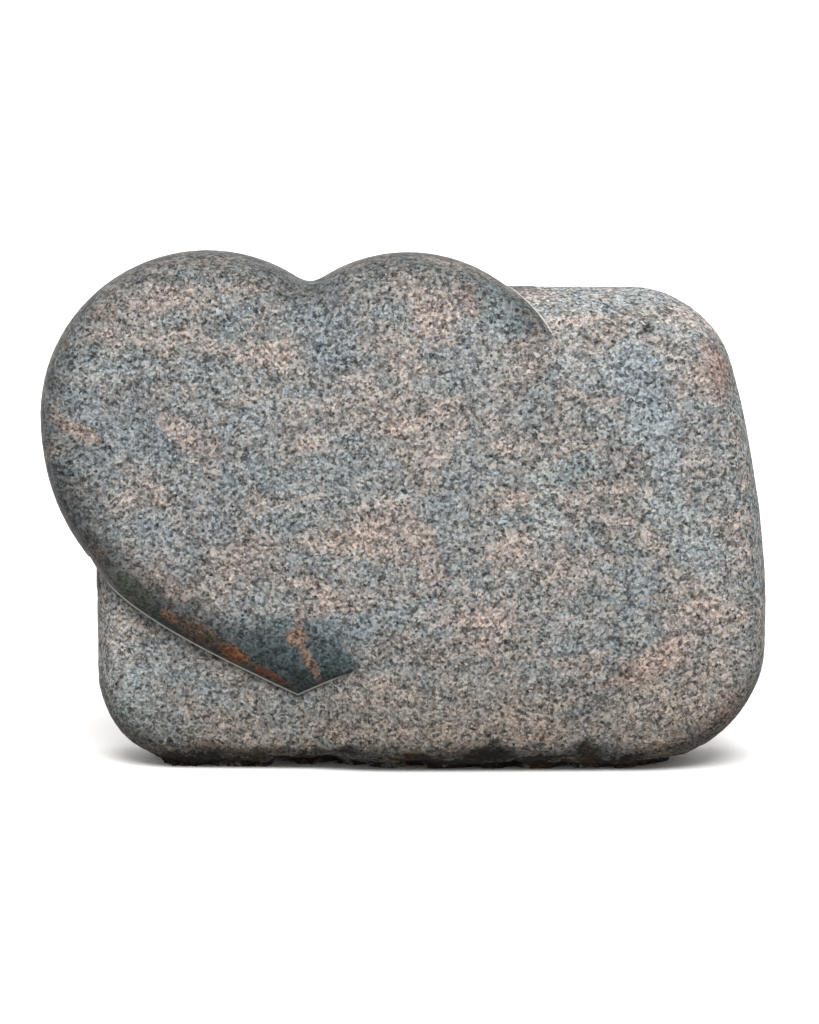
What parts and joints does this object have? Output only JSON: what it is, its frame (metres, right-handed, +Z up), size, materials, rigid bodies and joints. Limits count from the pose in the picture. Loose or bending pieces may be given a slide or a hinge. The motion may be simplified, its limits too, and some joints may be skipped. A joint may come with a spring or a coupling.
{
  "type": "urn headstone",
  "caption": "Low granite headstone for an urn grave: a rounded upright slab with a heart carved proud of its upper left side, standing on a sawn bed.",
  "frame": {"origin": "on the bed that the stone stands on, under the middle of the whole block", "axes": "+Z up, +X to the right seen from the front, the carved front faces -Y"},
  "size_m": [0.5608, 0.142, 0.398],
  "materials": {
    "granite": "flamed grey, blue and salmon granite, honed to a darker tone on the heart's rounded edge, rough and stained along the foot"
  },
  "bodies": {
    "root": {"headstone": "granite"}
  },
  "joints": []
}
